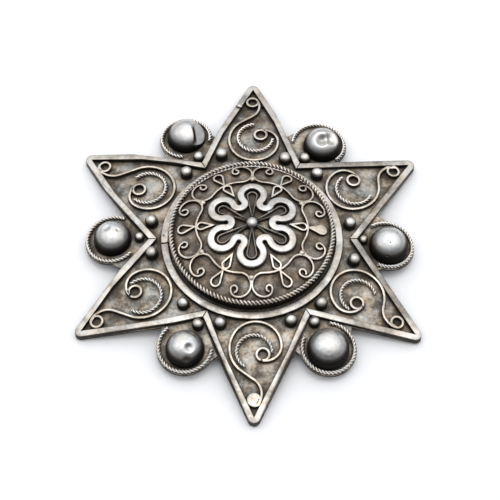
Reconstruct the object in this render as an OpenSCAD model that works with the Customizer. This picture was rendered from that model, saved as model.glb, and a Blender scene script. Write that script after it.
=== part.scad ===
// Star brooch of soldered silver: a domed sheet star with flat rims, filigree and a raised medallion.
// Millimetres, +Z out of the front, +Y to the top point, lying on the tips of its six points.

/* [Star] */
// Distance from the centre to the tip of an average point
tip_r = 30; // [28:0.5:32]
// Distance from the centre to an average notch between two points
notch_r = 15.8; // [15.8:0.1:16.2]
// Radius of the rounding at each tip
tip_round = 0.95; // [0.8:0.05:1.1]
// Radius of the shallow dome that the whole star is pressed to
dome_r = 150; // [120:5:200]
// Thickness of the sheet
sheet_t = 0.5; // [0.5:0.05:0.8]

/* [Rims and ring] */
// Width of the flat-topped wire round each point
rim_w = 0.95; // [0.8:0.05:1]
// Height of that wire above the sheet
rim_h = 0.75; // [0.7:0.05:1.2]
// Outer radius of the ring round the medallion
ring_r = 13.9; // [13.6:0.05:14]
// Width of that ring
ring_w = 1.1; // [0.9:0.05:1.15]
// Opening at the ring's seam
ring_seam = 0.15; // [0.1:0.05:0.3]

/* [Medallion] */
// Radius of the medallion's upright wall
medallion_r = 12.1; // [11.9:0.05:12.2]
// Height of the medallion's middle above the sheet
medallion_h = 4.3; // [4:0.1:4.6]
// Radius of the medallion's own dome
medallion_dome_r = 30; // [28:0.5:34]
// Thickness of the medallion's metal
medallion_t = 0.6; // [0.4:0.1:0.8]
// Width of the broad strap of the rosette
strap_w = 1.1; // [0.9:0.05:1.2]
// Height of that strap above the medallion
strap_h = 0.85; // [0.6:0.05:1]

/* [Filigree] */
// Width of the ribbon wire of the scrolls in the points
ribbon_w = 0.38; // [0.3:0.02:0.42]
// Height of that wire above the sheet
ribbon_h = 0.65; // [0.6:0.05:0.75]
// Radius of the middle of the wire in the eyelet inside a scroll
inner_eyelet = 0.95; // [0.8:0.05:0.95]
// The same in the eyelet at the tip of a point
tip_eyelet = 0.88; // [0.7:0.02:0.88]
// Width of the finer wire on the medallion
fine_w = 0.3; // [0.26:0.02:0.34]
// Height of the finer wire above the medallion
fine_h = 0.5; // [0.4:0.05:0.6]
// Diameter of the twisted wire in the points
twist_d = 0.6; // [0.5:0.02:0.6]
// Diameter of the rope on the medallion's shoulder
rope_d = 0.8; // [0.7:0.05:0.8]
// Radius of the grains in the points
grain_r = 1; // [0.8:0.05:1]
// Radius of the largest of the beads in the notches
bead_r = 0.9; // [0.7:0.05:0.9]

/* [Lobes] */
// Radius of an average round lobe of the sheet
lobe_r = 4.25; // [4.25:0.05:4.4]
// Distance of the rope collar's middle from the edge of its lobe
collar_in = 0.36; // [0.3:0.02:0.36]
// Diameter of that rope
collar_d = 0.6; // [0.5:0.05:0.6]
// Thickness of the hollow domes
ball_t = 0.45; // [0.3:0.05:0.6]

/* [Pin] */
// Diameter of the pin's stem
stem_d = 1.1; // [0.9:0.05:1.2]
// Distance from the hinge to the catch
stem_len = 24; // [20:0.5:26]
// Distance of the stem above the centre of the star
stem_y = 5; // [3:0.5:7]
// Height of the middle of the stem over the surface that the brooch lies on
stem_z = 1.25; // [1.1:0.05:1.4]

/* [Hidden] */
$fn = 64;

seam = 0.03; // the solder seams between the pieces
dome_fn = 256; // facets of the large domes
round_fn = 180; // facets of the ring and of the medallion's wall
dome_slab = 8; // half height of the slabs that are cut to a dome
arc_step = 10; // longest arc step of a bent wire, in degrees
fine_step = 14; // the same for the finer wire
eyelet_steps = 360 / arc_step - 1;
side_steps = 8; // steps along one side of a point
half_point = 30; // degrees from the middle of a point to its notch

// The six points by clock order from the top. The hand work is uneven, so each has its own row.
reach = 0; // past tip_r
lean = 1; // degrees that the tip leans anticlockwise
bow = 2; // how far its sides bow outwards
stem = 3; // straight stretch of its scroll
turn = 4; // degrees that the scroll is turned
aside = 5; // scroll moved right
along = 6; // scroll moved outwards
points = [
    [0.2, 0.1, 0.5, 1.9, -6, -0.1, 0.05],
    [-0.4, 1.5, 0.2, 1.0, -14, 0.35, -0.2],
    [-0.2, -1.8, 0.2, 0.3, -24, -0.45, -0.1],
    [-0.2, 1.0, 0.4, 2.0, -6, 0.5, -0.25],
    [0.4, 0.3, 0.5, 2.4, -4, -0.15, 0.0],
    [0.8, -1.7, 0.7, 2.8, 0, -0.35, 0.2],
];
// The notches by clock order from the upper right, as [past notch_r, degrees anticlockwise]
notches = [[0.0, 2.0], [0.3, 1.0], [-0.1, 4.0], [-0.5, 1.9], [0.0, 0.0], [0.3, -0.3]];
corner = 1.3; // how far the sharp corner that is rounded off lies past a straight-sided tip
mitre = 0.06; // half opening of the joint between two rims, in degrees
rim_run = 4; // how far the inner sides of a rim run on past the notches

// The arcs of a point's scroll from its inner eyelet outwards, as [radius, turn to the left].
// A row that turns by nothing is a straight of that length. An eyelet stands at each end.
function scroll_rows(stem_l) = [[2.4, -105], [3.8, -145], [4.5, -90], [stem_l, 0], [2.7, 85]];
eyelet_at = [1.11, 19.75];
scroll_heading = 20; // direction in which the wire leaves the inner eyelet
scroll_pivot = 18; // distance from the centre of the place that it turns about

// The crescents of twisted wire, as [right, outwards, radius, from, to]
crescents = [
    [0.4, 19.2, 2.75, 95, 355],
    [0.4, 18.5, 2.75, 140, 350],
    [0.1, 18.6, 2.65, 130, 360],
    [0.5, 18.9, 2.65, 120, 362],
    [-0.1, 18.9, 2.8, 115, 375],
    [-0.2, 18.9, 2.8, 105, 375],
];
twist_lump = 0.56; // length of one lump of this wire
collar_lump = 0.54; // the same on the collars
rope_lump = 0.6; // the same on the medallion's rope

// The grains at the foot of each point, as [right, outwards], left grain first
grains = [
    [[-4.9, 15.4], [5.0, 14.7]],
    [[-5.3, 14.6], [4.9, 14.4]],
    [[-4.8, 15.1], [4.3, 14.5]],
    [[-5.9, 13.9], [4.6, 14.4]],
    [[-4.6, 14.4], [5.4, 14.4]],
    [[-5.0, 14.9], [5.2, 14.9]],
];
// The beads in the notches, as [distance from the centre, degrees anticlockwise, size]
beads = [
    [17.0, 1.5, 0.97], [17.0, 0.9, 0.78], [16.9, 3.8, 0.94],
    [16.6, 1.5, 1.0], [17.2, -1.5, 0.83], [17.3, -0.5, 0.96],
];
foot = 0.75; // height of a grain's or bead's centre, as a part of its radius

// The six lobes of the sheet by clock order from the upper right
lobe_at = 0; // distance from the centre
lobe_turn = 1; // degrees anticlockwise
wider = 2; // past lobe_r
span_right = 3; // how far the collar runs clockwise from its outermost point, in degrees
span_left = 4; // the same anticlockwise
lobes = [
    [20.9, 0.3, 0.15, 108, 116],
    [20.7, -0.5, -0.05, 113, 128],
    [21.3, 2.7, 0.0, 145, 145],
    [20.4, 1.4, 0.1, 110, 110],
    [21.4, -1.5, 0.0, 115, 140],
    [22.0, -1.2, -0.1, 130, 145],
];
// The dome on each lobe, as [distance, degrees anticlockwise, radius, height of its centre]
domes = [
    [20.75, -1.6, 2.95, 0.4],
    [20.8, -1.6, 3.0, 0.6],
    [21.5, 2.0, 3.15, 0.6],
    [20.85, 2.1, 2.9, 0.4],
    [21.35, -1.3, 2.9, 0.2],
    [22.0, -1.6, 3.1, 0.2],
];
// The webs of sheet that join the lobes to the points
web_at = 17.9;
web_r = 5;

// The dents in the domes, as [lobe, from the top, clockwise from outwards, radius, depth]
dents = [
    [1, 22, -70, 1.3, 0.35],
    [1, 38, -100, 1.1, 0.2],
    [4, 20, 130, 0.8, 0.35],
    [4, 48, -140, 0.9, 0.2],
    [5, 34, 75, 0.8, 0.2],
    [5, 16, 165, 0.6, 0.14],
];
// The folded dent, as [lobe, from the top, clockwise from outwards, depth]
fold = [6, 42, 100, 0.45];

// The wreath of volutes on the medallion
volute_end = [4.33, 7.31];
inner_drop = [7.7, 0.6, 20]; // distance from the middle, radius, half angle of the point
outer_drop = [10.55, 0.7, 22];
wreath_bead = [8.6, 0.5, 0.2]; // distance from the middle, radius, height over the medallion

// The rosette: its six loops, the necks between them, and the hub with its long drops
loop_at = 5.1;
loop_r = 1.75;
neck_r = 0.85;
long_drop = [0.72, 9.5]; // radius, half angle of the point
hub = [0.95, 0.35]; // radius, height over the medallion

// The hinge block and the catch of the pin
hinge = [2.4, 3.2];
catch = [1.6, 1.8];
leg_h = 5; // their height before the sheet cuts them off
leg_drop = 0.85; // how far they reach below the middle of the stem
pin_point = [2.5, 0.3]; // length, end diameter

function clock(i, turn) = 60 - 60 * i + turn;
function lobe_angle(i) = clock(i, lobes[i][lobe_turn]);
function lobe_middle(i) = polar(lobes[i][lobe_at], lobe_angle(i));
function lobe_edge(i) = lobe_r + lobes[i][wider];
function polar(r, a) = r * [cos(a), sin(a)];
function angle_of(v) = atan2(v[1], v[0]);
function unit(v) = v / norm(v);
function leftward(v) = [-v[1], v[0]];
function turned(p, a) = [p[0] * cos(a) - p[1] * sin(a), p[0] * sin(a) + p[1] * cos(a)];
function reversed(list) = [for (k = [len(list) - 1:-1:0]) list[k]];
function without_last(list) = [for (k = [0:1:len(list) - 2]) list[k]];
// Small unevenness from -1 to 1 for the k-th copy
function uneven(k) = sin(137 * k + 40);

// Where two circles meet, on the left of the line between their centres
function meet(c, cr, d, dr) =
    let (gap = norm(d - c), a = (cr * cr - dr * dr + gap * gap) / (2 * gap))
    c + unit(d - c) * a + leftward(unit(d - c)) * sqrt(cr * cr - a * a);

// The outline of a point, in its own frame with the tip up. Each side is an arc from a notch to the tip.
// The corner that is rounded off lies less far past the tip where the sides bow more.
function apex(i) = polar(tip_r + points[i][reach] + corner - 0.5 * points[i][bow], 90 + points[i][lean]);
function bow_radius(a, b, rise) = (norm(b - a) * norm(b - a) / 4 + rise * rise) / (2 * rise);
function side_centre(a, b, rise, hand) =
    (a + b) / 2 + hand * leftward(unit(b - a)) * (bow_radius(a, b, rise) - rise);
function notch(i, hand, half) =
    let (row = notches[hand > 0 ? i : (i + 5) % 6])
    polar(notch_r + row[0], 90 - hand * half + row[1]);
function side(i, hand, half) =
    let (a = notch(i, hand, half), b = apex(i), rise = points[i][bow])
    [side_centre(a, b, rise, hand), bow_radius(a, b, rise)];
function arc_points(c, r, from, to, steps) =
    [for (k = [0:steps]) c + polar(r, from + (to - from) * k / steps)];

// Right side, rounded tip and left side
function point_path(i, half) =
    let (
        right = side(i, 1, half),
        left = side(i, -1, half),
        eye = meet(right[0], right[1] - tip_round, left[0], left[1] - tip_round),
        right_end = angle_of(eye - right[0]),
        left_end = angle_of(eye - left[0])
    )
    concat(
        arc_points(right[0], right[1], angle_of(notch(i, 1, half) - right[0]), right_end, side_steps),
        arc_points(eye, tip_round, right_end, left_end, 6),
        arc_points(left[0], left[1], left_end, angle_of(notch(i, -1, half) - left[0]), side_steps)
    );
function tip_end(i) =
    let (right = side(i, 1, half_point), left = side(i, -1, half_point))
    norm(meet(right[0], right[1] - tip_round, left[0], left[1] - tip_round)) + tip_round;

// The field inside a rim, with its sides run on past the notches
function point_field(i) =
    let (
        right = side(i, 1, half_point),
        left = side(i, -1, half_point),
        rr = right[1] - rim_w,
        lr = left[1] - rim_w,
        top = meet(right[0], rr, left[0], lr),
        right_foot = angle_of(notch(i, 1, half_point) - right[0]) - rim_run / rr * 180 / PI,
        left_foot = angle_of(notch(i, -1, half_point) - left[0]) + rim_run / lr * 180 / PI
    )
    concat(
        arc_points(right[0], rr, right_foot, angle_of(top - right[0]), side_steps),
        arc_points(left[0], lr, angle_of(top - left[0]), left_foot, side_steps)
    );

// Height of the middle of the sheet's front over the surface under the tips
far_r = max([for (i = [0:5]) tip_end(i)]);
lift = dome_r - sqrt(pow(dome_r - sheet_t, 2) - far_r * far_r);
// Heights over the middle of the sheet: the centre of the medallion's dome, and its shoulder
medallion_c = medallion_h - medallion_dome_r;
shoulder_z = medallion_c + sqrt(pow(medallion_dome_r, 2) - pow(medallion_r, 2));

// Bent wire: the points of a path made of arcs and straights, as [x, y, heading]
function stretch(at, row, step) =
    row[1] == 0
        ? [[at[0] + row[0] * cos(at[2]), at[1] + row[0] * sin(at[2]), at[2]]]
        : let (
            steps = ceil(abs(row[1]) / step),
            hand = sign(row[1]),
            c = [at[0], at[1]] + hand * row[0] * leftward(polar(1, at[2]))
        )
        [for (k = [1:steps])
            let (h = at[2] + row[1] * k / steps, p = c - hand * row[0] * leftward(polar(1, h)))
            [p[0], p[1], h]];
function walk(rows, at, step, i = 0) =
    i == len(rows)
        ? [at]
        : let (s = stretch(at, rows[i], step))
            concat([at], without_last(s), walk(rows, s[len(s) - 1], step, i + 1));
function edge(path, off) = [for (p = path) [p[0], p[1]] + off * leftward(polar(1, p[2]))];

// Outline of a wire bent along a path
module ribbon(path, w) {
    polygon(concat(edge(path, w / 2), reversed(edge(path, -w / 2))));
}

// A wire bent to a drop with its point down
function drop_outline(r, half) =
    concat([[0, -r / sin(half)]], arc_points([0, 0], r, -half, 180 + half, 14));
module drop(r, half, w) {
    difference() {
        polygon(drop_outline(r + w / 2, half));
        polygon(drop_outline(r - w / 2, half));
    }
}

// A layer over a dome, cut to an outline, from one height above the dome to another
module dome_layer(c, r, from, to) {
    translate([0, 0, c]) intersection() {
        translate([0, 0, r - dome_slab]) linear_extrude(2 * dome_slab) children();
        difference() {
            sphere(r + to, $fn = dome_fn);
            sphere(r + from, $fn = dome_fn);
        }
    }
}
module star_layer(from, to) {
    dome_layer(lift - dome_r, dome_r, from, to) children();
}
module medallion_layer(from, to) {
    dome_layer(lift + medallion_c, medallion_dome_r, from, to) children();
}

// A ball on a dome at a distance and angle from the middle, with its foot cut to fit the dome
module ball_on_dome(c, dome, r, a, h, size) {
    translate([0, 0, c]) difference() {
        rotate([0, asin(r / dome), a]) translate([0, 0, dome + h]) sphere(size, $fn = 48);
        sphere(dome + seam, $fn = dome_fn);
    }
}
module ball_on_medallion(r, a, h, size) {
    ball_on_dome(lift + medallion_c, medallion_dome_r, r, a, h, size);
}

// Two wires twisted together along a path of [x, y, heading] points, at the heights in z
twist_turn = 45; // degrees from one section to the next, so a lump takes four
flat = 0.3; // half width of a section across the two wires, as a part of the rope's diameter
function twist_ring(p, z, d, k) =
    let (n = leftward(polar(1, p[2])))
    [for (m = [0:3])
        let (a = k * twist_turn + m * 90, s = (m % 2 == 0 ? 0.5 : flat) * d)
        [p[0] + n[0] * s * cos(a), p[1] + n[1] * s * cos(a), z + s * sin(a)]];
module twisted(path, z, d, closed = false) {
    n = len(path);
    rings = closed ? n : n - 1;
    ring_points = [for (k = [0:n - 1]) each twist_ring(path[k], z[k], d, k)];
    walls = [for (k = [0:rings - 1], m = [0:3])
        let (
            a = 4 * k + m,
            b = 4 * k + (m + 1) % 4,
            e = 4 * ((k + 1) % n) + m,
            f = 4 * ((k + 1) % n) + (m + 1) % 4
        )
        each [[a, e, f], [a, f, b]]];
    last = 4 * (n - 1);
    ends = [[0, 1, 2], [0, 2, 3], [last + 2, last + 1, last], [last + 3, last + 2, last]];
    polyhedron(ring_points, closed ? walls : concat(walls, ends));
}
// Path along an arc with four steps to a lump, and its heights on the star
function arc_path(c, r, from, to, lump) =
    let (n = ceil(4 * r * abs(to - from) * PI / 180 / lump))
    [for (k = [0:n])
        let (a = from + (to - from) * k / n, p = c + polar(r, a))
        [p[0], p[1], a + 90]];
function star_heights(path, h) =
    [for (p = path) lift - dome_r + sqrt(pow(dome_r + h, 2) - p[0] * p[0] - p[1] * p[1])];

module star_outline() {
    polygon([for (i = [5:-1:0]) for (p = without_last(point_path(i, half_point))) turned(p, -60 * i)]);
}

module back_plate() {
    color([0.44, 0.41, 0.37]) star_layer(-sheet_t, 0) {
        star_outline();
        for (i = [0:5]) {
            translate(lobe_middle(i)) circle(lobe_edge(i));
            translate(polar(web_at, clock(i, notches[i][1]))) circle(web_r);
        }
    }
}

module rim(i) {
    color([0.68, 0.66, 0.63]) star_layer(seam, rim_h) rotate(-60 * i) difference() {
        polygon(concat(point_path(i, half_point - mitre), [[0, 0]]));
        // Runs out past both feet of the rim
        polygon(concat([[tip_r, 0]], point_field(i), [[-tip_r, 0]]));
    }
}

module centre_ring() {
    color([0.68, 0.66, 0.63]) star_layer(seam, rim_h) difference() {
        circle(ring_r, $fn = round_fn);
        circle(ring_r - ring_w, $fn = round_fn);
        rotate(184) translate([ring_r - 2 * ring_w, -ring_seam / 2]) square([3 * ring_w, ring_seam]);
    }
}

module medallion() {
    color([0.5, 0.47, 0.43]) difference() {
        medallion_body(medallion_r, 0);
        medallion_body(medallion_r - medallion_t, medallion_t);
        translate([0, 0, lift - dome_r]) sphere(dome_r + seam, $fn = dome_fn);
    }
}
module medallion_body(r, inset) {
    translate([0, 0, lift]) intersection() {
        translate([0, 0, -sheet_t]) cylinder(h = medallion_h + 2 * sheet_t, r = r, $fn = round_fn);
        translate([0, 0, medallion_c]) sphere(medallion_dome_r - inset, $fn = dome_fn);
    }
}

module medallion_rope() {
    r = medallion_r + rope_d / 4;
    // Two lumps are one whole turn of the twist
    n = 8 * round(PI * r / rope_lump);
    path = [for (k = [0:n - 1]) let (a = 360 * k / n, p = polar(r, a)) [p[0], p[1], a + 90]];
    color([0.74, 0.72, 0.69])
        twisted(path, [for (p = path) lift + shoulder_z + rope_d / 2], rope_d, true);
}

// A volute from its eye to the middle of a gap of the rosette, each bent a little differently
function volute_rows(w) = [[0.48 + 0.03 * w, 265], [1.05 - 0.04 * w, 80], [1.75 + 0.02 * w, 200], [5, -30]];
module volute(k) {
    path = walk(volute_rows(uneven(k)), [0, 0, 175], fine_step);
    last = path[len(path) - 1];
    translate([volute_end[0] - last[0], volute_end[1] - last[1]]) ribbon(path, fine_w);
}
module drop_at(row, shift, tilt) {
    translate([shift, row[0]]) rotate(tilt) drop(row[1], row[2], fine_w);
}
module medallion_scrolls() {
    color([0.74, 0.71, 0.66]) {
        medallion_layer(seam, fine_h)
            for (k = [0:5]) {
                rotate(60 * k) {
                    volute(2 * k);
                    mirror([1, 0]) volute(2 * k + 1);
                }
                rotate(60 * k + 30) {
                    drop_at(inner_drop, 0.05 * uneven(k), 3 * uneven(k + 3));
                    drop_at(outer_drop, 0.1 * uneven(k + 1), -5 * uneven(k + 1));
                }
            }
        for (k = [0:5])
            ball_on_medallion(wreath_bead[0], 90 + 60 * k, wreath_bead[2], wreath_bead[1]);
    }
}

// Broad flat strap bent to six loops, with long drops through their necks from a hub in the middle
module rosette() {
    neck_at = loop_at * cos(30) - sqrt(pow(loop_r + neck_r, 2) - pow(loop_at * sin(30), 2));
    swing = angle_of([neck_at * cos(30) - loop_at, neck_at * sin(30)]);
    start = [loop_at + loop_r * cos(swing), -loop_r * sin(swing), 90 - swing];
    rows = [for (k = [0:5]) each [[loop_r, 2 * swing], [neck_r, 60 - 2 * swing]]];
    strap = without_last(walk(rows, start, arc_step));
    color([0.86, 0.85, 0.83]) {
        medallion_layer(seam, strap_h) rotate(half_point) difference() {
            polygon(edge(strap, -strap_w / 2));
            polygon(edge(strap, strap_w / 2));
        }
        medallion_layer(seam, fine_h)
            for (k = [0:5])
                rotate(60 * k) drop_at([loop_at, long_drop[0], long_drop[1]], 0, 0);
        ball_on_medallion(0, 0, hub[1], hub[0]);
    }
}

module point_scroll(i) {
    start = eyelet_at + inner_eyelet * leftward(polar(1, scroll_heading));
    path = walk(scroll_rows(points[i][stem]), [start[0], start[1], scroll_heading], arc_step);
    last = path[len(path) - 1];
    color([0.72, 0.69, 0.64]) star_layer(seam, ribbon_h)
        rotate(-60 * i)
            mirror([i % 2, 0])
                translate([points[i][aside], points[i][along] + scroll_pivot])
                    rotate(points[i][turn])
                        translate([0, -scroll_pivot]) {
                            ribbon(path, ribbon_w);
                            translate(eyelet_at) eyelet(inner_eyelet);
                            translate([last[0], last[1]] + tip_eyelet * leftward(polar(1, last[2])))
                                eyelet(tip_eyelet);
                        }
}
// The end of a wire bent to a closed ring
module eyelet(r) {
    difference() {
        polygon(arc_points([0, 0], r + ribbon_w / 2, 0, 360 - arc_step, eyelet_steps));
        polygon(arc_points([0, 0], r - ribbon_w / 2, 0, 360 - arc_step, eyelet_steps));
    }
}

module point_twist(i) {
    row = crescents[i];
    path = arc_path([row[0], row[1]], row[2], row[3], row[4], twist_lump);
    color([0.76, 0.74, 0.7])
        rotate([0, 0, -60 * i])
            mirror([i % 2, 0, 0])
                twisted(path, star_heights(path, seam + twist_d / 2), twist_d);
}

module lobe_dome(i) {
    at = domes[i][0];
    r = domes[i][2];
    a = clock(i, domes[i][1]);
    color([0.5, 0.5, 0.49]) translate([0, 0, lift - dome_r]) difference() {
        rotate([0, asin(at / dome_r), a]) translate([0, 0, dome_r + domes[i][3]]) difference() {
            dented_ball(i, r, 0);
            dented_ball(i, r - ball_t, ball_t);
        }
        sphere(dome_r + seam, $fn = dome_fn);
    }
}
// A dented ball, with the dents moved inwards by inset
module dented_ball(i, r, inset) {
    difference() {
        sphere(r, $fn = 96);
        for (d = dents)
            if (d[0] == i + 1)
                rotate([0, 0, -d[2]]) rotate([0, d[1], 0])
                    translate([0, 0, r + inset - d[4] + d[3]])
                        sphere(d[3] + inset, $fn = 64);
        if (fold[0] == i + 1)
            rotate([0, 0, -fold[2]]) rotate([0, fold[1], 0])
                translate([0, 0, r + inset - fold[3] - inset * sqrt(2)])
                    rotate([0, 0, 20]) rotate([0, 45, 0]) translate([0, -r, 0]) cube(2 * r);
    }
}

module lobe_rope(i) {
    from = lobe_angle(i) - lobes[i][span_right];
    to = lobe_angle(i) + lobes[i][span_left];
    path = arc_path(lobe_middle(i), lobe_edge(i) - collar_in, from, to, collar_lump);
    color([0.72, 0.7, 0.66]) twisted(path, star_heights(path, seam + collar_d / 2), collar_d);
}

// A ball seated on the sheet, with a flat melted foot
module seated(p, r) {
    color([0.64, 0.62, 0.58]) ball_on_dome(lift - dome_r, dome_r, norm(p), angle_of(p), foot * r, r);
}
module grain(i, side_no) {
    seated(turned(grains[i][side_no], -60 * i), grain_r);
}
module bead(i) {
    seated(polar(beads[i][0], clock(i, beads[i][1])), bead_r * beads[i][2]);
}

// Hinge block, stem and catch in one, plain because they are hidden
module pin() {
    half = stem_len / 2;
    color([0.55, 0.53, 0.5]) intersection() {
        translate([0, stem_y, stem_z]) {
            rotate([0, 90, 0]) cylinder(h = stem_len, d = stem_d, center = true, $fn = 32);
            translate([half, 0, 0]) rotate([0, 90, 0])
                cylinder(h = pin_point[0], d1 = stem_d, d2 = pin_point[1], $fn = 32);
            translate([-half - 1, -hinge[1] / 2, -leg_drop]) cube([hinge[0], hinge[1], leg_h]);
            translate([half - 2, -catch[1] / 2, -leg_drop]) cube([catch[0], catch[1], leg_h]);
        }
        translate([0, 0, lift - dome_r]) sphere(dome_r - sheet_t - seam, $fn = dome_fn);
    }
}

back_plate();
centre_ring();
medallion();
medallion_rope();
medallion_scrolls();
rosette();
pin();
for (i = [0:5]) {
    rim(i);
    point_scroll(i);
    point_twist(i);
    lobe_dome(i);
    lobe_rope(i);
    grain(i, 0);
    grain(i, 1);
    bead(i);
}
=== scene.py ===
import math
import random

import bpy
from mathutils import Matrix, Vector
from mathutils.bvhtree import BVHTree


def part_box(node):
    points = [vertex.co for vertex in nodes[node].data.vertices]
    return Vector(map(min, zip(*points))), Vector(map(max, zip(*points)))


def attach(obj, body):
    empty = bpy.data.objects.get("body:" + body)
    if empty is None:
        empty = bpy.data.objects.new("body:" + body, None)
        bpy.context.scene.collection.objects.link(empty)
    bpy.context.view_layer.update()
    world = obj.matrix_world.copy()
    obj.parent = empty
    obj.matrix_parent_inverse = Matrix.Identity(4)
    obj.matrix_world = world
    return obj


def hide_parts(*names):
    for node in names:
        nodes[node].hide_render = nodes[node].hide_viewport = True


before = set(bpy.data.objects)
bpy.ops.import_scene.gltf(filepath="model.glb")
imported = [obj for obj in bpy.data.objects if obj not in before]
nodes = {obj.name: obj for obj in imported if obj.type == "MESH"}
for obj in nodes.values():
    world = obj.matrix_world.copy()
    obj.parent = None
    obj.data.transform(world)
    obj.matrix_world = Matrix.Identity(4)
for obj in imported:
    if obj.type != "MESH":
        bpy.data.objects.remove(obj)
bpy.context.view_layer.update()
mm = 0.001
seam = 0.03 * mm  # the solder seam that every piece keeps to what carries it
touch = 0.001 * mm  # nearer than this counts as the same place
print("frame loaded,", len(nodes), "nodes")

# The two domes that everything is soldered to, read from the frame
starDome = {"radius": 150 * mm, "top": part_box("back_plate")[1].z}
medallionDome = {"radius": 30 * mm, "top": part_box("medallion")[1].z}


def domeCentre(dome):
    return Vector((0, 0, dome["top"] - dome["radius"]))


def onDome(dome, x, y, height=0.0):
    # Point over the dome at x and y, at a height along the dome's normal
    radius = dome["radius"] + height
    return Vector((x, y, domeCentre(dome).z + math.sqrt(radius * radius - x * x - y * y)))


def polar(radius, degrees):
    angle = math.radians(degrees)
    return Vector((radius * math.cos(angle), radius * math.sin(angle), 0))


# The photo is taken from in front and above, a little turned, with a long lens
camera = {
    "elevation": 59.33,
    "distance": 285.08 * mm,
    "turn": 0.5,
    "sensor": 36,
    "focal": 134.44,
    "shift": (-0.00398, -0.02218),
}


def makeCamera():
    # It aims at the top of the star
    elevation = math.radians(camera["elevation"])
    data = bpy.data.cameras.new("camera")
    data.sensor_width = camera["sensor"]
    data.lens = camera["focal"]
    data.shift_x, data.shift_y = camera["shift"]
    data.clip_start = 0.01
    data.clip_end = 10
    shot = bpy.data.objects.new("camera", data)
    bpy.context.collection.objects.link(shot)
    back = Vector((0, -math.cos(elevation), math.sin(elevation))) * camera["distance"]
    tilt = Matrix.Rotation(math.pi / 2 - elevation, 4, "X")
    turn = Matrix.Rotation(math.radians(camera["turn"]), 4, "Z")
    lift = Matrix.Translation((0, 0, starDome["top"]))
    shot.matrix_world = lift @ turn @ Matrix.Translation(back) @ tilt
    bpy.context.scene.camera = shot


makeCamera()
print("camera placed")

# Small helpers for working as in the viewport


def selectOnly(piece):
    if bpy.context.object and bpy.context.object.mode != "OBJECT":
        bpy.ops.object.mode_set(mode="OBJECT")
    bpy.ops.object.select_all(action="DESELECT")
    piece.select_set(True)
    bpy.context.view_layer.objects.active = piece


def editAll(piece):
    selectOnly(piece)
    bpy.ops.object.mode_set(mode="EDIT")
    bpy.ops.mesh.select_all(action="SELECT")


def editWhere(piece, wanted):
    # Edit mode with only the vertices selected that the test wants
    editAll(piece)
    bpy.ops.mesh.select_mode(type="VERT")
    bpy.ops.mesh.select_all(action="DESELECT")
    bpy.ops.object.mode_set(mode="OBJECT")
    for vertex in piece.data.vertices:
        vertex.select = wanted(vertex.co)
    bpy.ops.object.mode_set(mode="EDIT")


def leaveEdit():
    bpy.ops.object.mode_set(mode="OBJECT")


def newest(name):
    # Names the piece that was just added
    piece = bpy.context.object
    piece.name = name
    return piece


def modify(piece, kind, **settings):
    # Adds a modifier and applies it at once
    selectOnly(piece)
    modifier = piece.modifiers.new(kind.lower(), kind)
    for key, value in settings.items():
        setattr(modifier, key, value)
    bpy.ops.object.modifier_apply(modifier=modifier.name)


def applyPlace(piece):
    selectOnly(piece)
    bpy.ops.object.transform_apply(location=True, rotation=True, scale=True)


def standOn(piece, dome, x, y, height, turn=0.0):
    # Puts a piece modelled at the origin on a dome, upright on it and facing outwards
    applyPlace(piece)
    outwards = math.atan2(y, x)
    slope = math.asin(math.hypot(x, y) / (dome["radius"] + height))
    piece.matrix_world = (
        Matrix.Translation(domeCentre(dome))
        @ Matrix.Rotation(outwards, 4, "Z")
        @ Matrix.Rotation(slope, 4, "Y")
        @ Matrix.Translation((0, 0, dome["radius"] + height))
        @ Matrix.Rotation(turn, 4, "Z")
    )
    applyPlace(piece)


def copyOf(piece, name):
    # A copy with its own mesh
    copied = piece.copy()
    copied.data = piece.data.copy()
    copied.name = name
    bpy.context.collection.objects.link(copied)
    return copied


def finishPiece(piece, material, replaced, smoothAngle=35):
    selectOnly(piece)
    bpy.ops.object.shade_smooth_by_angle(angle=math.radians(smoothAngle))
    piece.data.materials.clear()
    piece.data.materials.append(material)
    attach(piece, "root")
    if replaced:
        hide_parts(*replaced)


# Materials: aged silver in several states of wear


def fromHex(value):
    # sRGB hex to the linear colour that the shaders take
    channels = [int(value[i : i + 2], 16) / 255 for i in (1, 3, 5)]
    linear = [c / 12.92 if c <= 0.04045 else ((c + 0.055) / 1.055) ** 2.4 for c in channels]
    return (*linear, 1.0)


def addNode(tree, kind, settings=None, links=None):
    # links: input name or number to a socket or a fixed value
    node = tree.nodes.new(kind)
    for key, value in (settings or {}).items():
        setattr(node, key, value)
    for key, value in (links or {}).items():
        if isinstance(value, bpy.types.NodeSocket):
            tree.links.new(value, node.inputs[key])
        else:
            node.inputs[key].default_value = value
    return node


def setRamp(ramp, stops):
    elements = ramp.color_ramp.elements
    while len(elements) > 1:
        elements.remove(elements[-1])
    elements[0].position = stops[0][0]
    elements[0].color = fromHex(stops[0][1])
    for position, colour in stops[1:]:
        elements.new(position).color = fromHex(colour)


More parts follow.
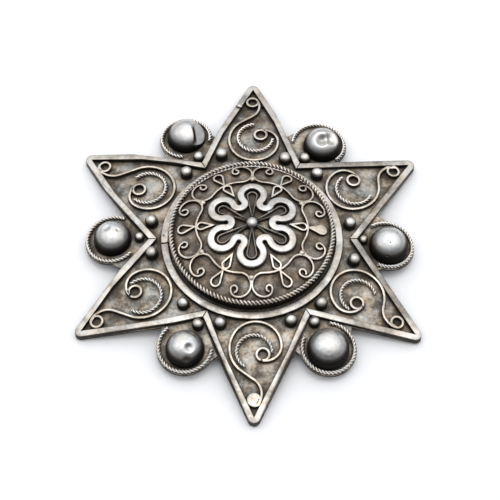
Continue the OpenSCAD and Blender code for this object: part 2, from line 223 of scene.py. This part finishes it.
# the height mask: heights over the dome in mm between which the metal goes from dark to light; low
# metal is tarnished and also painted dark as shade and dark reflection, high metal is rubbed
# sides: how light the metal's upright sides stay, from 0 to 1, next to its upper sides; they are
# darker partly as tarnish and partly as painted shade
# slopes: rise of the surface's normal up to which it counts as a side, and from which it's rubbed
# and painted fully lit
# kept: how light the metal stays beside what stands near it, from 0 to 1, where tarnish and painted
# shade darken the corners
# tones: colours from the grimiest and most shaded to the most rubbed and lit metal, the dark end
# partly painted shade
# roughness, metal: from the grimiest and most shaded to the most rubbed and lit metal
# patches, bloom: how strongly the tarnish varies over 3 mm and over 0.5 mm
# corner, foot: reach in mm of the tarnish and painted shade beside what stands near, and right at
# its foot
# waves: depth in mm of the hammered unevenness
# scratch: strength of the hair scratches
# tint: strength of the coloured film of tarnish
usualFinish = {
    "dome": starDome,
    "slopes": (0.1, 0.85),
    "kept": 0.65,
    "roughness": (0.6, 0.36),
    "metal": (0.6, 1.0),
    "tint": 0.4,
}
silverFinishes = {
    # Sheet between the wires: brown patina over grey, mottled, near black at the foot of each wire,
    # partly patina and partly painted shade
    "patinatedSheet": {
        "heightWearAndShade": (-0.6, 0.1),
        "sides": 0.35,
        "kept": 0.28,
        "tones": [
            (0, "#15120e"),
            (0.25, "#665e54"),
            (0.5, "#b2aca2"),
            (0.75, "#cdcac4"),
            (1, "#dfdedb"),
        ],
        "roughness": (0.7, 0.45),
        "metal": (0.45, 0.85),
        "patches": 0.6,
        "bloom": 0.35,
        "corner": 1.5,
        "foot": 0.3,
        "waves": 0.1,
        "scratch": 0.25,
        "tint": 1.0,
    },
    "patinatedMedallion": {
        "dome": medallionDome,
        "heightWearAndShade": (-0.6, 0.1),
        "sides": 0.6,
        "kept": 0.4,
        "tones": [
            (0, "#120f0c"),
            (0.3, "#4b4238"),
            (0.6, "#857c70"),
            (0.8, "#a3a099"),
            (1, "#c2c2c0"),
        ],
        "roughness": (0.65, 0.42),
        "metal": (0.45, 0.85),
        "patches": 0.55,
        "bloom": 0.3,
        "corner": 0.9,
        "foot": 0.25,
        "waves": 0.08,
        "scratch": 0.25,
        "tint": 0.9,
    },
    # Flat-topped wire: sides dark with tarnish and painted shade, tops worn and painted lit to a
    # warm satin grey with fine scratches
    "wornFlatWire": {
        "heightWearAndShade": (0.25, 0.75),
        "sides": 0.15,
        "tones": [(0, "#1b1713"), (0.3, "#655d54"), (0.65, "#bdb8b1"), (1, "#dcd9d4")],
        "patches": 0.4,
        "bloom": 0.2,
        "corner": 0.5,
        "foot": 0.2,
        "waves": 0.08,
        "scratch": 1.4,
    },
    # Broad strap of the rosette: the highest metal, rubbed almost white
    "wornStrap": {
        "dome": medallionDome,
        "heightWearAndShade": (0.2, 0.8),
        "sides": 0.35,
        "tones": [(0, "#1b1713"), (0.35, "#6a6259"), (0.75, "#c2bfba"), (1, "#eae9e6")],
        "roughness": (0.55, 0.3),
        "patches": 0.3,
        "bloom": 0.08,
        "corner": 0.5,
        "foot": 0.2,
        "waves": 0.06,
        "scratch": 0.6,
    },
    # Thin soldered wire: lighter on its upper side, rubbed there and painted lit, with its sides
    # darkened as painted shade
    "wornScrollWire": {
        "heightWearAndShade": (0.2, 0.65),
        "sides": 0.25,
        "tones": [(0, "#1a1511"), (0.25, "#675d51"), (0.55, "#c0b6a8"), (1, "#efe9df")],
        "patches": 0.45,
        "bloom": 0.2,
        "corner": 0.4,
        "foot": 0.15,
        "waves": 0.04,
        "scratch": 0.3,
    },
    "wornFineWire": {
        "dome": medallionDome,
        "heightWearAndShade": (0.15, 0.5),
        "sides": 0.3,
        "tones": [(0, "#1a1511"), (0.25, "#675d51"), (0.55, "#c0b6a8"), (1, "#f1ece3")],
        "patches": 0.4,
        "bloom": 0.2,
        "corner": 0.4,
        "foot": 0.15,
        "waves": 0.04,
        "scratch": 0.3,
    },
    # Twisted wire: each lump rubbed bright and painted lit on top, black where the two strands
    # meet, as tarnish and painted shade
    "twistedWire": {
        "heightWearAndShade": (0.05, 0.5),
        "sides": 0.6,
        "slopes": (0, 0.6),
        "kept": 0.95,
        "tones": [(0, "#15110e"), (0.15, "#5f554a"), (0.38, "#dcd4c8"), (0.7, "#fefbf6")],
        "roughness": (0.55, 0.33),
        "patches": 0.3,
        "bloom": 0.15,
        "corner": 0.3,
        "foot": 0.1,
        "waves": 0.02,
        "scratch": 0.1,
    },
    "twistedRope": {
        "dome": medallionDome,
        "heightWearAndShade": (0, 0.7),
        "sides": 0.5,
        "slopes": (0, 0.65),
        "kept": 0.8,
        "tones": [(0, "#15110e"), (0.2, "#62574c"), (0.5, "#cac2b6"), (0.9, "#f6f1e9")],
        "roughness": (0.55, 0.33),
        "patches": 0.35,
        "bloom": 0.15,
        "corner": 0.4,
        "foot": 0.12,
        "waves": 0.02,
        "scratch": 0.1,
    },
    # Raised hollow domes: oxidised steel grey, smooth enough to mirror the lamp softly, with their
    # lower sides and foot painted near black as shade and dark reflection
    "oxidisedAndShadedDome": {
        "heightWearAndShade": (-0.2, 0.9),
        "sides": 0.03,
        "slopes": (0.3, 0.85),
        "kept": 0.6,
        "tones": [(0, "#0f0d0b"), (0.3, "#4e4b47"), (0.65, "#b3b3b1"), (1, "#f0f0ef")],
        "roughness": (0.75, 0.2),
        "metal": (0.9, 1.0),
        "patches": 0.15,
        "bloom": 0.12,
        "corner": 0.8,
        "foot": 0.3,
        "waves": 0.08,
        "scratch": 0.3,
        "tint": 0.35,
    },
    # Grains: little melted balls, painted bright on top as lit and dark at the foot as shade,
    # besides their tarnish
    "silverGrain": {
        "heightWearAndShade": (0, 0.8),
        "sides": 0.1,
        "slopes": (0.2, 0.8),
        "kept": 0.6,
        "tones": [(0, "#110e0c"), (0.35, "#57514a"), (0.7, "#bbb7b0"), (1, "#efede9")],
        "roughness": (0.75, 0.24),
        "metal": (0.8, 1.0),
        "patches": 0.2,
        "bloom": 0.15,
        "corner": 0.5,
        "foot": 0.2,
        "waves": 0.04,
        "scratch": 0.2,
    },
}

# Film of tarnish: straw coloured in places, steel blue in others
tarnishFilm = [(0.36, "#fff0dc"), (0.47, "#fcf7f0"), (0.55, "#f7f7f7"), (0.66, "#e4ebf2")]
# Each kind of unevenness: size in mm, detail, roughness, and how its texture is moved
# The scratches are hairs about 0.1 mm wide, as coarse as shows, in two crossing directions
mottling = {
    "patches": (3, 6, 0.65, {}),
    "bloom": (0.5, 4, 0.7, {}),
    "film": (2.2, 3, 0.55, {"Location": (0.05, 0.02, 0)}),
    "waves": (1.6, 3, 0.5, {}),
    "scratch": (0.12, 2, 0.6, {"Rotation": (0, 0, math.radians(25)), "Scale": (0.02, 1, 0.06)}),
    "cross": (0.12, 2, 0.6, {"Rotation": (0, 0, math.radians(118)), "Scale": (0.02, 1, 0.06)}),
}


def agedSilver(name, finish):
    material = bpy.data.materials.new(name)
    material.use_nodes = True
    tree = material.node_tree
    shader = tree.nodes["Principled BSDF"]
    place = addNode(tree, "ShaderNodeTexCoord").outputs["Object"]
    mottle = {}
    for kind, (size, detail, roughness, moved) in mottling.items():
        vector = place
        if moved:
            links = {"Vector": place, **moved}
            vector = addNode(tree, "ShaderNodeMapping", None, links).outputs["Vector"]
        scale = 1 / (size * mm)
        links = {"Vector": vector, "Scale": scale, "Detail": detail, "Roughness": roughness}
        mottle[kind] = addNode(tree, "ShaderNodeTexNoise", None, links).outputs["Fac"]
    # Lightness follows the height over the dome: cloth and fingers reach the high metal first, and
    # the low metal is also painted dark as shade and dark reflection
    dome = finish["dome"]
    fromCentre = addNode(
        tree, "ShaderNodeVectorMath", {"operation": "DISTANCE"}, {0: place, 1: domeCentre(dome)}
    ).outputs["Value"]
    heightWearAndShade = [dome["radius"] + height * mm for height in finish["heightWearAndShade"]]
    # Upper sides are painted lighter as lit, upright and lower sides darker as painted shade, along
    # with their tarnish
    facing = addNode(tree, "ShaderNodeNewGeometry").outputs["Normal"]
    upwards = addNode(tree, "ShaderNodeSeparateXYZ", None, {0: facing}).outputs["Z"]
    # Tarnish and painted shade darken the corners beside each wire, blackest right at its foot
    kind, settings = "ShaderNodeAmbientOcclusion", {"samples": 8}
    corner, foot = [
        addNode(tree, kind, settings, {"Distance": finish[reach] * mm}).outputs["AO"]
        for reach in ("corner", "foot")
    ]
    # What makes the metal light, partly rubbed clean and partly painted light and shade: a value,
    # where it starts and ends, the least and the most, and how it rises
    reasons = [
        (fromCentre, *heightWearAndShade, 0.25, 1, "SMOOTHSTEP"),
        (upwards, *finish["slopes"], finish["sides"], 1, "SMOOTHSTEP"),
        (mottle["patches"], 0.35, 0.65, 1 - finish["patches"], 1, "SMOOTHSTEP"),
        (mottle["bloom"], 0.35, 0.65, 1 - finish["bloom"], 1, "LINEAR"),
        (corner, 0.3, 1, finish["kept"], 1, "LINEAR"),
        (foot, 0.3, 1, 0.15, 1, "LINEAR"),
    ]
    rubbedAndLit = 1
    multiply = {"operation": "MULTIPLY"}
    for value, low, high, least, most, rise in reasons:
        settings = {"interpolation_type": rise}
        links = {"Value": value, "From Min": low, "From Max": high, "To Min": least, "To Max": most}
        part = addNode(tree, "ShaderNodeMapRange", settings, links).outputs["Result"]
        rubbedAndLit = addNode(tree, "ShaderNodeMath", multiply, {0: rubbedAndLit, 1: part}).outputs[0]
    ramp = addNode(tree, "ShaderNodeValToRGB", None, {"Fac": rubbedAndLit})
    setRamp(ramp, finish["tones"])
    film = addNode(tree, "ShaderNodeValToRGB", None, {"Fac": mottle["film"]})
    setRamp(film, tarnishFilm)
    tinted = addNode(
        tree,
        "ShaderNodeMix",
        {"data_type": "RGBA", "blend_type": "MULTIPLY"},
        {0: finish["tint"], 6: ramp.outputs["Color"], 7: film.outputs["Color"]},
    ).outputs[2]
    tree.links.new(tinted, shader.inputs["Base Color"])
    for socket, key, end in (("Roughness", "roughness", 1), ("Metallic", "metal", 0.6)):
        least, most = finish[key]
        links = {"Value": rubbedAndLit, "From Min": 0, "From Max": end, "To Min": least, "To Max": most}
        value = addNode(tree, "ShaderNodeMapRange", None, links).outputs["Result"]
        tree.links.new(value, shader.inputs[socket])
    links = {0: mottle["scratch"], 1: mottle["cross"]}
    scratches = addNode(tree, "ShaderNodeMath", {"operation": "ADD"}, links).outputs[0]
    # Relief: a height, its strength and its depth in mm
    reliefs = [
        (scratches, 0.35 * finish["scratch"], 0.01),
        (mottle["bloom"], 0.4, 0.02),
        (mottle["waves"], 0.8, finish["waves"]),
    ]
    normal = None
    for height, strength, depth in reliefs:
        links = {"Height": height, "Strength": strength, "Distance": depth * mm}
        if normal:
            links["Normal"] = normal
        normal = addNode(tree, "ShaderNodeBump", None, links).outputs["Normal"]
    tree.links.new(normal, shader.inputs["Normal"])
    return material


silver = {
    name: agedSilver(name, {**usualFinish, **finish}) for name, finish in silverFinishes.items()
}
print("materials made")

# Sheet, flat wires, strap and scrolls: the frame's own solids with their edges worn round
# node: finish, width of the worn edge in mm, steps across it
wornEdges = {
    "back_plate": ("patinatedSheet", 0.1, 2),
    "medallion": ("patinatedMedallion", 0.2, 3),
    "centre_ring": ("wornFlatWire", 0.12, 3),
    "rosette": ("wornStrap", 0.2, 3),
    "medallion_scrolls": ("wornFineWire", 0.09, 2),
    "pin": ("wornFlatWire", 0.1, 2),
}
for number in range(1, 7):
    wornEdges[f"rim_{number}"] = ("wornFlatWire", 0.13, 3)
    wornEdges[f"point_scroll_{number}"] = ("wornScrollWire", 0.12, 2)


def wearEdges(node, width, segments):
    piece = bpy.data.objects.new(node + "Worn", nodes[node].data.copy())
    bpy.context.collection.objects.link(piece)
    # The solid's triangles are joined to large faces and its splinters closed, then the edges
    # where faces meet sharply are rounded
    samePoint, splinter = 0.002 * mm, 0.02 * mm
    flat, sharp = math.radians(5), math.radians(40)
    editAll(piece)
    bpy.ops.mesh.customdata_custom_splitnormals_clear()
    bpy.ops.mesh.remove_doubles(threshold=samePoint)
    bpy.ops.mesh.dissolve_limited(angle_limit=flat)
    bpy.ops.mesh.select_all(action="SELECT")
    bpy.ops.mesh.remove_doubles(threshold=splinter)
    leaveEdit()
    modify(
        piece,
        "BEVEL",
        width=width * mm,
        segments=segments,
        limit_method="ANGLE",
        angle_limit=sharp,
        use_clamp_overlap=False,
    )
    # Where wires cross, the bevel throws a few corners off the piece, so they go back onto it
    solid = nodes[node].data
    skin = BVHTree.FromPolygons(
        [corner.co for corner in solid.vertices], [face.vertices for face in solid.polygons]
    )
    for corner in piece.data.vertices:
        place, _, _, away = skin.find_nearest(corner.co)
        if away > width * mm:
            corner.co = place
    editAll(piece)
    bpy.ops.mesh.quads_convert_to_tris(quad_method="BEAUTY", ngon_method="BEAUTY")
    leaveEdit()
    return piece


# Small dents in the tops of the flat wires
# node: right and up in mm, height of the wire's top over the sheet, long, wide and deep in mm,
# turn in degrees
knocks = {
    "rim_6": [(-23.63, 11.15, 0.78, 0.6, 0.32, 0.14, -56)],
    "centre_ring": [
        (-13.5, 0.4, 0.78, 0.24, 0.2, 0.14, 0),
        (-13.2, 3.1, 0.78, 0.5, 0.3, 0.06, 80),
    ],
}


def pressKnock(piece, right, up, height, long, wide, deep, turn):
    bpy.ops.object.select_all(action="DESELECT")
    bpy.ops.mesh.primitive_uv_sphere_add(segments=24, ring_count=16, radius=1 * mm)
    punch = newest("punch")
    punch.scale = (long, wide, deep)
    standOn(punch, starDome, right * mm, up * mm, height * mm, math.radians(turn))
    modify(piece, "BOOLEAN", operation="DIFFERENCE", solver="EXACT", object=punch)
    bpy.data.objects.remove(punch)


for node, (finish, width, segments) in wornEdges.items():
    piece = wearEdges(node, width, segments)
    for knock in knocks.get(node, []):
        pressKnock(piece, *knock)
    finishPiece(piece, silver[finish], [node])
print("edges worn")

# Twisted wires: two round strands laid side by side, twisted and bent along their path
# diameter, lump: of the whole wire, and from one lump to the next, in mm
ropes = {
    "sides": 9,  # faces round a strand
    "steps": 18,  # faces along one whole turn
    "bends": 96,  # straight bits in an arc
    "crescent": {
        "diameter": 0.6,
        "lump": 0.56,
        # one a point, clockwise from the top: right, outwards, radius in mm, from and to in degrees
        "arcs": [
            (0.4, 19.2, 2.75, 95, 355),
            (0.4, 18.5, 2.75, 140, 350),
            (0.1, 18.6, 2.65, 130, 360),
            (0.5, 18.9, 2.65, 120, 362),
            (-0.1, 18.9, 2.8, 115, 375),
            (-0.2, 18.9, 2.8, 105, 375),
        ],
    },
    "collar": {
        "diameter": 0.6,
        "lump": 0.54,
        # one a lobe, clockwise from the upper right: distance from the middle, direction, radius,
        # from and to
        "arcs": [
            (20.9, 60.3, 4.04, -108, 116),
            (20.7, -0.5, 3.84, -113, 128),
            (21.3, -57.3, 3.89, -145, 145),
            (20.4, -118.6, 3.99, -110, 110),
            (21.4, 178.5, 3.89, -115, 140),
            (22.0, 118.8, 3.79, -130, 145),
        ],
    },
    # height: of the wire's foot over the sheet
    "shoulder": {"diameter": 0.8, "lump": 0.6, "radius": 12.3, "height": 1.752, "bends": 256},
}


def twistWire(name, points, diameter, lump, closed=False):
    gaps = [(b - a).length for a, b in zip(points, points[1:])]
    if closed:
        gaps.append((points[0] - points[-1]).length)
    length = sum(gaps)
    # Two lumps a turn, one from each strand
    turns = round(length / (2 * lump))
    bpy.ops.object.select_all(action="DESELECT")
    strand = diameter / 4
    bpy.ops.mesh.primitive_circle_add(
        vertices=ropes["sides"],
        radius=strand,
        location=(0, strand, 0),
        rotation=(0, math.pi / 2, 0),
    )
    wire = newest(name)
    applyPlace(wire)
    # The second strand lies on the other side of the axis
    editAll(wire)
    bpy.ops.mesh.duplicate()
    bpy.ops.transform.rotate(value=math.pi, orient_axis="X", center_override=(0, 0, 0))
    leaveEdit()
    modify(
        wire,
        "SCREW",
        axis="X",
        angle=2 * math.pi,
        screw_offset=length / turns,
        iterations=turns,
        steps=ropes["steps"],
        render_steps=ropes["steps"],
    )
    route = bpy.data.curves.new(name + "Route", "CURVE")
    route.dimensions = "3D"
    spline = route.splines.new("POLY")
    spline.points.add(len(points) - 1)
    for spot, point in zip(spline.points, points):
        spot.co = (*point, 1)
    spline.use_cyclic_u = closed
    guide = bpy.data.objects.new(name + "Route", route)
    bpy.context.collection.objects.link(guide)
    bpy.context.view_layer.update()
    modify(wire, "CURVE", object=guide, deform_axis="POS_X")
    bpy.data.objects.remove(guide)
    bpy.data.curves.remove(route)
    editAll(wire)
    if closed:
        # The last turn meets the first
        bpy.ops.mesh.remove_doubles(threshold=0.02 * mm)
    else:
        bpy.ops.mesh.fill_holes(sides=0)
        bpy.ops.mesh.select_all(action="SELECT")
    bpy.ops.mesh.normals_make_consistent(inside=False)
    leaveEdit()
    return wire


def arcOnStar(middle, radius, start, end, height):
    bends = ropes["bends"]
    spots = [middle + polar(radius, start + (end - start) * k / bends) for k in range(bends + 1)]
    return [onDome(starDome, spot.x, spot.y, height) for spot in spots]


def makeRopes():
    crescent = ropes["crescent"]
    diameter, lump = crescent["diameter"] * mm, crescent["lump"] * mm
    for number, (right, outwards, radius, start, end) in enumerate(crescent["arcs"]):
        middle = Vector((right, outwards, 0)) * mm
        points = arcOnStar(middle, radius * mm, start, end, seam + diameter / 2)
        # Every second point is the mirror image of its neighbours
        hand = Matrix.Diagonal((-1 if number % 2 else 1, 1, 1, 1))
        place = Matrix.Rotation(math.radians(-60 * number), 4, "Z") @ hand
        node = f"point_twist_{number + 1}"
        points = [place @ point for point in points]
        wire = twistWire(f"crescentWire_{number + 1}", points, diameter, lump)
        finishPiece(wire, silver["twistedWire"], [node], smoothAngle=60)
    collar = ropes["collar"]
    diameter, lump = collar["diameter"] * mm, collar["lump"] * mm
    for number, (distance, direction, radius, start, end) in enumerate(collar["arcs"]):
        middle = polar(distance * mm, direction)
        start, end = direction + start, direction + end
        points = arcOnStar(middle, radius * mm, start, end, seam + diameter / 2)
        node = f"lobe_rope_{number + 1}"
        wire = twistWire(f"collarWire_{number + 1}", points, diameter, lump)
        finishPiece(wire, silver["twistedWire"], [node], smoothAngle=60)
    shoulder = ropes["shoulder"]
    diameter, lump = shoulder["diameter"] * mm, shoulder["lump"] * mm
    rise = Vector((0, 0, starDome["top"] + shoulder["height"] * mm + diameter / 2))
    bends = shoulder["bends"]
    points = [polar(shoulder["radius"] * mm, 360 * k / bends) + rise for k in range(bends)]
    wire = twistWire("shoulderRope", points, diameter, lump, closed=True)
    node = "medallion_rope"
    finishPiece(wire, silver["twistedRope"], [node], smoothAngle=60)


makeRopes()
print("wires twisted")

# Hollow domes on the lobes, each knocked about in its own way
# wall: thickness in mm
# up: height of the ball's centre over the sheet, in mm
# dents: degrees from the top, degrees clockwise from outwards, radius and depth in mm, shape
# facet: a blow that left a flat with a sharp crease along one side: degrees from the top,
# clockwise from outwards, turn of the crease, half width of the flat in degrees, and the
# crease's distance in mm
hollowDomes = {
    "wall": 0.45,
    "lobe_dome_1": {
        "up": 0.4,
        "dents": [(17, 172, 1.4, 1.0, "SMOOTH"), (26, 75, 1.5, 0.8, "SMOOTH")],
    },
    "lobe_dome_2": {
        "up": 0.6,
        "dents": [(20, 103, 0.2, 0.16, "SHARP"), (62, 100, 0.18, 0.08, "SHARP")],
    },
    "lobe_dome_3": {
        "up": 0.6,
        "dents": [(30, 40, 0.5, 0.03, "SMOOTH")],
    },
    "lobe_dome_4": {
        "up": 0.4,
        "dents": [(22, -82, 0.95, 0.42, "SMOOTH"), (55, -40, 0.9, 0.1, "SMOOTH")],
    },
    "lobe_dome_5": {
        "up": 0.2,
        "dents": [(14, 49, 0.9, 0.25, "SMOOTH"), (26, 177, 0.4, 0.16, "SMOOTH")],
    },
    "lobe_dome_6": {
        "up": 0.2,
        "dents": [],
        "facet": (48, 138, 40, 37, -0.57),
    },
}


def pressDent(ball, radius, fromTop, clockwise, reach, depth, shape):
    turn = Matrix.Rotation(math.radians(-clockwise), 3, "Z")
    tip = Matrix.Rotation(math.radians(fromTop), 3, "Y")
    inwards = turn @ tip @ Vector((0, 0, -1))
    # Pushes the vertex nearest to the middle of the dent, and what is round it
    nearest = min((vertex.co + radius * inwards).length for vertex in ball.data.vertices)
    editWhere(ball, lambda co: (co + radius * inwards).length < nearest + touch)
    bpy.ops.transform.translate(
        value=inwards * depth,
        use_proportional_edit=True,
        proportional_edit_falloff=shape,
        proportional_size=reach,
    )
    leaveEdit()


def hammerFacet(ball, radius, fromTop, clockwise, turn, halfWidth, crease):
    # Flattened at the ball's top, softened in a strip along the crease, then turned to its place
    below, before, behind = 0.1 * mm, 0.35 * mm, 0.45 * mm
    flat = radius * math.cos(math.radians(halfWidth))
    editWhere(ball, lambda co: co.z > flat and co.x > crease)
    bpy.ops.transform.resize(value=(1, 1, 0), center_override=(0, 0, flat))
    leaveEdit()
    editWhere(
        ball, lambda co: co.z > flat - below and crease - before < co.x < crease + behind
    )
    bpy.ops.mesh.vertices_smooth(factor=0.5, repeat=30)
    leaveEdit()
    ball.matrix_world = (
        Matrix.Rotation(math.radians(-clockwise), 4, "Z")
        @ Matrix.Rotation(math.radians(fromTop), 4, "Y")
        @ Matrix.Rotation(math.radians(turn), 4, "Z")
    )
    applyPlace(ball)


def makeDomes():
    for number in range(1, 7):
        node = f"lobe_dome_{number}"
        row = hollowDomes[node]
        low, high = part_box(node)
        x, y, radius = (low.x + high.x) / 2, (low.y + high.y) / 2, (high.x - low.x) / 2
        bpy.ops.object.select_all(action="DESELECT")
        bpy.ops.mesh.primitive_ico_sphere_add(subdivisions=6, radius=radius)
        ball = newest(f"hollowDome_{number}")
        if "facet" in row:
            fromTop, clockwise, turn, halfWidth, crease = row["facet"]
            hammerFacet(ball, radius, fromTop, clockwise, turn, halfWidth, crease * mm)
        for fromTop, clockwise, reach, depth, shape in row["dents"]:
            pressDent(ball, radius, fromTop, clockwise, reach * mm, depth * mm, shape)
        editAll(ball)
        bpy.ops.mesh.bisect(
            plane_co=(0, 0, seam - row["up"] * mm),
            plane_no=(0, 0, 1),
            clear_inner=True,
            threshold=touch,
        )
        leaveEdit()
        modify(ball, "SOLIDIFY", thickness=hollowDomes["wall"] * mm, offset=-1)
        standOn(ball, starDome, x, y, row["up"] * mm)
        finishPiece(ball, silver["oxidisedAndShadedDome"], [node], smoothAngle=60)


makeDomes()
print("domes dented")

# Grains and beads: a melted ball in a little pool of solder, made once for a radius of 1 mm
grain = {
    "segments": 36,
    "rings": 24,
    "cut": -0.5,  # height at which the ball ends
    "pool": [(-0.13, 1.03), (-0.09, 1.1)],  # steps down from there, and how much each widens
    "foot": 0.75,  # height of the ball's centre over the sheet, in radii
    "narrowest": 0.96,  # no two melt to quite the same ball
    "seed": 7,
}


def makeGrain():
    bpy.ops.object.select_all(action="DESELECT")
    bpy.ops.mesh.primitive_uv_sphere_add(
        segments=grain["segments"], ring_count=grain["rings"], radius=1 * mm
    )
    ball = newest("grainPattern")
    editAll(ball)
    bpy.ops.mesh.bisect(
        plane_co=(0, 0, grain["cut"] * mm),
        plane_no=(0, 0, 1),
        clear_inner=True,
        threshold=touch,
    )
    for drop, wider in grain["pool"]:
        bpy.ops.mesh.extrude_edges_move(TRANSFORM_OT_translate={"value": (0, 0, drop * mm)})
        bpy.ops.transform.resize(value=(wider, wider, 1))
    bpy.ops.mesh.edge_face_add()
    bpy.ops.mesh.select_all(action="SELECT")
    bpy.ops.mesh.normals_make_consistent(inside=False)
    leaveEdit()
    return ball


def makeGrains():
    pattern = makeGrain()
    dice = random.Random(grain["seed"])
    for node in [f"grain_{k}" for k in range(1, 13)] + [f"bead_{k}" for k in range(1, 7)]:
        low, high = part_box(node)
        x, y, radius = (low.x + high.x) / 2, (low.y + high.y) / 2, (high.x - low.x) / 2
        ball = copyOf(pattern, node.replace("_", "Ball_"))
        long, wide = [radius / mm * dice.uniform(grain["narrowest"], 1) for _ in "xy"]
        ball.scale = (long, wide, radius / mm)
        standOn(ball, starDome, x, y, grain["foot"] * radius, dice.uniform(0, math.tau))
        finishPiece(ball, silver["silverGrain"], [node], smoothAngle=50)
    bpy.data.objects.remove(pattern)


makeGrains()
print("grains set")

# Drops of solder that ran off the joints
# name: right and up in mm, height of what it lies on over the sheet, long, wide and high in mm,
# turn in degrees
solderDrops = {
    "dropOnRim": (-2.29, 25.68, 0.81, 0.46, 0.38, 0.26, 62),
    "dropInEyelet": (21.68, -13.6, 0.03, 0.36, 0.24, 0.16, -20),
    "dropByEyelet": (1.5, 26.05, 0.03, 0.34, 0.24, 0.34, 60),
}
# Each runs out unevenly: how often, how far, and how much of it goes along, for a radius of 1 mm
runs = {"times": 3, "least": 0.1, "most": 0.3, "reach": 0.8, "tip": 0.985, "seed": 3}


def makeDrops():
    dice = random.Random(runs["seed"])
    for name, (right, up, height, long, wide, high, turn) in solderDrops.items():
        bpy.ops.object.select_all(action="DESELECT")
        bpy.ops.mesh.primitive_ico_sphere_add(subdivisions=4, radius=1 * mm)
        drop = newest(name)
        for _ in range(runs["times"]):
            aside = Vector((dice.uniform(-1, 1), dice.uniform(-1, 1), 0)).normalized()
            editWhere(drop, lambda co: co.normalized().dot(aside) > runs["tip"])
            bpy.ops.transform.translate(
                value=aside * dice.uniform(runs["least"], runs["most"]) * mm,
                use_proportional_edit=True,
                proportional_edit_falloff="SMOOTH",
                proportional_size=runs["reach"] * mm,
            )
            leaveEdit()
        editAll(drop)
        bpy.ops.mesh.bisect(plane_co=(0, 0, 0), plane_no=(0, 0, 1), clear_inner=True, use_fill=True)
        leaveEdit()
        drop.scale = (long, wide, high)
        standOn(drop, starDome, right * mm, up * mm, height * mm, math.radians(turn))
        finishPiece(drop, silver["wornFlatWire"], None, smoothAngle=60)


makeDrops()
print("solder dropped")

# Floor and light
# room: its colours from low down in front, past the horizon at the sides and behind, up to the
# ceiling, as shares of the span
# front, span: how much lower the front counts, and the heights of the first and last colours
studio = {
    "floor": "#f7f7f7",
    "floorSize": 3,
    "floorRoughness": 0.9,
    "overhead": {"place": (0, 0.02, 0.5), "width": 0.26, "depth": 0.16, "power": 0.3},
    "room": [
        (0.0, "#222326"),
        (0.24, "#535457"),
        (0.43, "#88898c"),
        (0.55, "#b1b2b5"),
        (0.75, "#d8d9dc"),
        (0.95, "#eaebee"),
        (1.0, "#f8f9f9"),
    ],
    "front": 0.6,
    "span": (-0.5, 1),
    "strength": 1.8,
}


def makeStudio():
    bpy.ops.object.select_all(action="DESELECT")
    bpy.ops.mesh.primitive_plane_add(size=studio["floorSize"], location=(0, 0, 0))
    floor = newest("floor")
    paper = bpy.data.materials.new("paper")
    paper.use_nodes = True
    shader = paper.node_tree.nodes["Principled BSDF"]
    shader.inputs["Base Color"].default_value = fromHex(studio["floor"])
    shader.inputs["Roughness"].default_value = studio["floorRoughness"]
    floor.data.materials.append(paper)
    # A soft lamp over the brooch, aimed at its middle
    overhead = studio["overhead"]
    data = bpy.data.lights.new("overhead", "AREA")
    data.shape = "RECTANGLE"
    data.size = overhead["width"]
    data.size_y = overhead["depth"]
    data.energy = overhead["power"]
    lamp = bpy.data.objects.new("overhead", data)
    bpy.context.collection.objects.link(lamp)
    lamp.location = overhead["place"]
    lamp.rotation_euler = (-Vector(overhead["place"])).to_track_quat("-Z", "Y").to_euler()
    # The room: pale walls and ceiling, and darker in front, where the photographer stands
    world = bpy.data.worlds.new("studio")
    bpy.context.scene.world = world
    world.use_nodes = True
    tree = world.node_tree
    direction = addNode(tree, "ShaderNodeTexCoord").outputs["Generated"]
    parts = addNode(tree, "ShaderNodeSeparateXYZ", None, {0: direction}).outputs
    links = {0: parts["Y"], 1: 0}
    front = addNode(tree, "ShaderNodeMath", {"operation": "MINIMUM"}, links).outputs[0]
    links = {0: front, 1: studio["front"], 2: parts["Z"]}
    cover = addNode(tree, "ShaderNodeMath", {"operation": "MULTIPLY_ADD"}, links).outputs[0]
    lowest, highest = studio["span"]
    links = {"Value": cover, "From Min": lowest, "From Max": highest, "To Min": 0, "To Max": 1}
    amount = addNode(tree, "ShaderNodeMapRange", None, links).outputs["Result"]
    room = addNode(tree, "ShaderNodeValToRGB", None, {"Fac": amount})
    setRamp(room, studio["room"])
    tree.links.new(room.outputs["Color"], tree.nodes["Background"].inputs["Color"])
    tree.nodes["Background"].inputs["Strength"].default_value = studio["strength"]
    bpy.context.scene.view_settings.view_transform = "Standard"


makeStudio()
print("studio lit")
